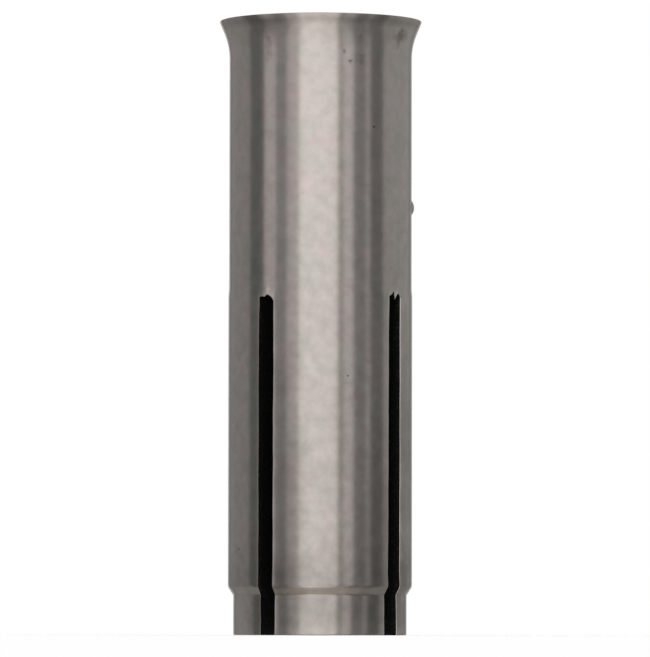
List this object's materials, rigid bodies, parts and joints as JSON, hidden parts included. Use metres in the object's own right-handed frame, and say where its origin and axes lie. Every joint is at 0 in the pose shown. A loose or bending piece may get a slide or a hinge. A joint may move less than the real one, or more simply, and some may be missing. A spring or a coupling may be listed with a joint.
{
  "type": "drop-in expansion anchor",
  "caption": "Slotted steel expansion sleeve with a flared mouth and a threaded bore, spread in its hole by a tapered plug inside.",
  "frame": {"origin": "centre of the end face of the slotted tip, on the axis, at the surface that the anchor stands on", "axes": "+Z along the axis from the slotted tip to the flared mouth; the four slots lie on the X and Y axes"},
  "size_m": [0.0164, 0.0164, 0.05],
  "materials": {
    "sleeve_steel": "bare turned stainless steel, fine tool marks round the axis",
    "plug_steel": "bare turned steel, plain"
  },
  "bodies": {
    "root": {"anchor_sleeve": "sleeve_steel", "expander_plug": "plug_steel"}
  },
  "joints": []
}
